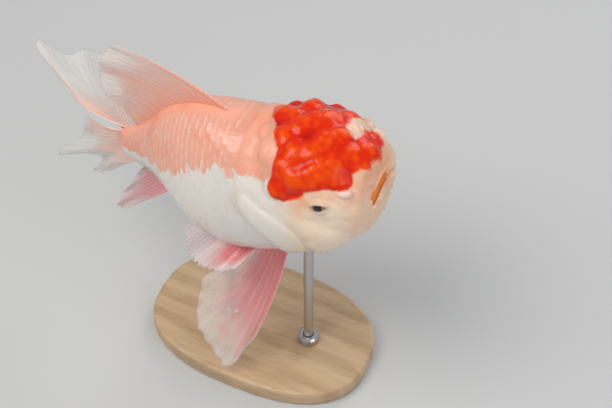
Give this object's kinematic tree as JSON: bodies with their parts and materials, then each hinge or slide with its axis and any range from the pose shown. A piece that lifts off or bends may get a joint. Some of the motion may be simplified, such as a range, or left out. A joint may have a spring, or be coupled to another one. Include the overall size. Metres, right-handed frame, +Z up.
{
  "type": "goldfish display model",
  "caption": "Life-size hooded fancy goldfish with a lobed crown and flowing twin tail, held still above a flat oval base by slim rods.",
  "frame": {"origin": "centre of the base's underside", "axes": "+X the way the fish faces, +Y its left, +Z up"},
  "size_m": [0.1765, 0.0861, 0.1522],
  "materials": {
    "salmon_skin": "wet salmon-orange skin with pale scales, white below",
    "orange_red_hood": "wet, lobed, vivid orange-red growth",
    "cream_skin": "wet, pale cream growth",
    "orange_lip": "wet orange lip",
    "pink_fin": "translucent membrane with pink-red rays and whitish edges",
    "dark_eye": "polished dark eye",
    "pale_oak": "satin oiled pale oak",
    "brushed_steel": "fine brushed steel"
  },
  "bodies": {
    "root": {"head": "cream_skin", "hood_crown": "orange_red_hood", "cheek_left": "cream_skin", "cheek_right": "cream_skin", "gill_cover_left": "salmon_skin", "gill_cover_right": "salmon_skin", "nostril_flap_left": "cream_skin", "nostril_flap_right": "cream_skin", "lip_upper": "orange_lip", "lip_lower": "cream_skin", "eye_left": "dark_eye", "eye_right": "dark_eye", "trunk": "salmon_skin", "tail_stem": "salmon_skin", "dorsal_fin": "pink_fin", "pectoral_fin_left": "pink_fin", "pectoral_fin_right": "pink_fin", "pelvic_fin_left": "pink_fin", "pelvic_fin_right": "pink_fin", "anal_fin_left": "pink_fin", "anal_fin_right": "pink_fin", "tail_fin_left": "pink_fin", "tail_fin_right": "pink_fin", "stand_base": "pale_oak", "stand_rod_front": "brushed_steel", "stand_rod_rear": "brushed_steel", "stand_ferrule_front": "brushed_steel", "stand_ferrule_rear": "brushed_steel"}
  },
  "joints": []
}
